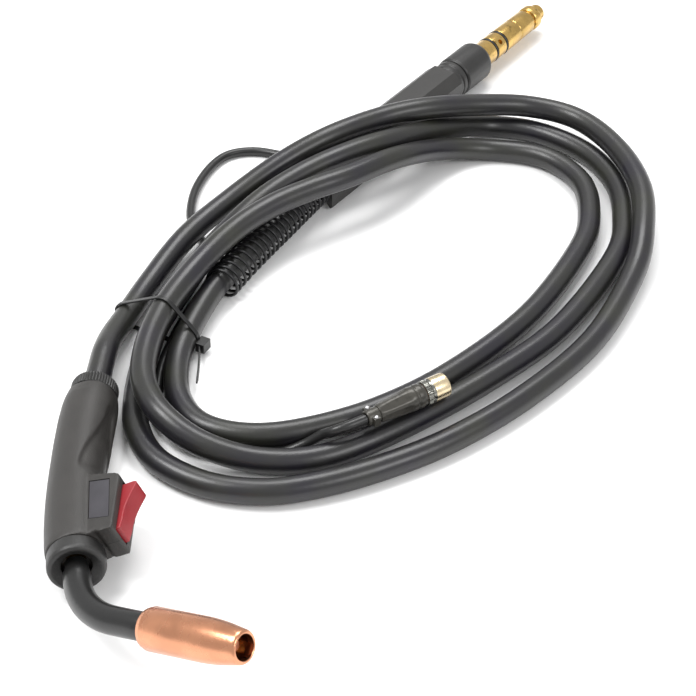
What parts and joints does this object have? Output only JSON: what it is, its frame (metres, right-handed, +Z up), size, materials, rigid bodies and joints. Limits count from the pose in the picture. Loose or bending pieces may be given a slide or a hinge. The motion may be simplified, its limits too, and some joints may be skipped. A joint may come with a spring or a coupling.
{
  "type": "welding torch",
  "caption": "Hand-held wire-feed welding torch with a bent neck, a trigger, and its looped and tied cable ending in a gas and power plug and a small control plug.",
  "frame": {"origin": "Centre of the torch head's footprint (nozzle, neck, handle and trigger, without the cord), on the surface it lies on", "axes": "+Z up; +Y along the handle from the neck to its rear; +X to the side that the nozzle bends towards"},
  "size_m": [0.3123, 0.5853, 0.0591],
  "materials": {
    "copper": "satin copper",
    "brass": "turned brass",
    "cream": "heat-proof moulding",
    "sleeve": "smooth black",
    "steel": "steel",
    "black": "textured black moulding",
    "label": "blank plate",
    "red": "red moulding",
    "wire": "insulated wire",
    "cable": "black rubber",
    "spring": "black coated wire",
    "nut": "black moulding",
    "grey": "dull grey metal",
    "pale": "plated coupling",
    "brown": "brown insulator"
  },
  "bodies": {
    "torch": {"nozzle_insulator": "cream", "gas_diffuser": "brass", "contact_tip": "copper", "neck_tube": "brass", "neck_sleeve": "sleeve", "wire_liner": "steel", "handle_near": "black", "handle_far": "black", "label_plate": "label", "trigger_pin": "steel", "trigger_spring": "steel", "switch_body": "nut", "switch_wires": "wire", "cable_ferrule": "brass", "cable_core": "copper", "cable_grommet": "cable", "main_cable": "cable", "cable_tie": "nut", "support_spring": "spring", "rear_shell_near": "black", "rear_shell_far": "black", "rear_shell_screws": "steel", "rear_ferrule": "brass", "rear_cuff": "nut", "plug_body": "brass", "plug_orings": "cable", "plug_tip": "brass", "lead_grommet": "cable", "control_lead": "cable", "control_clamp": "grey", "control_plug": "grey", "control_insert": "brown", "control_pins": "brass"},
    "nozzle": {"nozzle": "copper"},
    "front_ring": {"front_ring": "black"},
    "trigger": {"trigger": "red"},
    "plunger": {"switch_plunger": "red"},
    "rear_collar": {"rear_collar": "black"},
    "hand_nut": {"rear_nut": "nut"},
    "control_ring": {"control_ring": "pale"}
  },
  "joints": [
    {"name": "trigger_press", "type": "hinge", "parent": "torch", "child": "trigger", "pos_m": [-0.01401, -0.00684, 0.02498], "axis": [-0.3972, 0.0102, 0.9177], "range_deg": [0, 7.5], "stiffness_Nm_per_rad": 0.8, "springref_deg": -2.86},
    {"name": "plunger_slide", "type": "slide", "parent": "torch", "child": "plunger", "axis": [-0.9044, -0.1743, -0.3895], "range_m": [0, 0.00163]},
    {"name": "nozzle_pull", "type": "slide", "parent": "torch", "child": "nozzle", "axis": [0.793, -0.4994, 0.3488], "range_m": [0, 0.035]},
    {"name": "front_ring_turn", "type": "hinge", "parent": "torch", "child": "front_ring", "pos_m": [-0.03148, -0.01893, 0.01755], "axis": [0.156, -0.9846, 0.0785], "continuous": true},
    {"name": "rear_collar_turn", "type": "hinge", "parent": "torch", "child": "rear_collar", "pos_m": [-0.0366, 0.09858, 0.01403], "axis": [0.0518, 0.9986, 0.0113], "continuous": true},
    {"name": "hand_nut_turn", "type": "hinge", "parent": "torch", "child": "hand_nut", "pos_m": [0.16269, 0.40839, 0.0125], "axis": [0.5821, 0.8131, 0], "continuous": true},
    {"name": "control_ring_turn", "type": "hinge", "parent": "torch", "child": "control_ring", "pos_m": [0.13055, 0.09479, 0.0196], "axis": [0.8387, 0.5446, 0], "continuous": true}
  ],
  "couplings": [
    {"joint": "plunger_slide", "follows": "trigger_press", "m_per_rad": 0.0124}
  ]
}
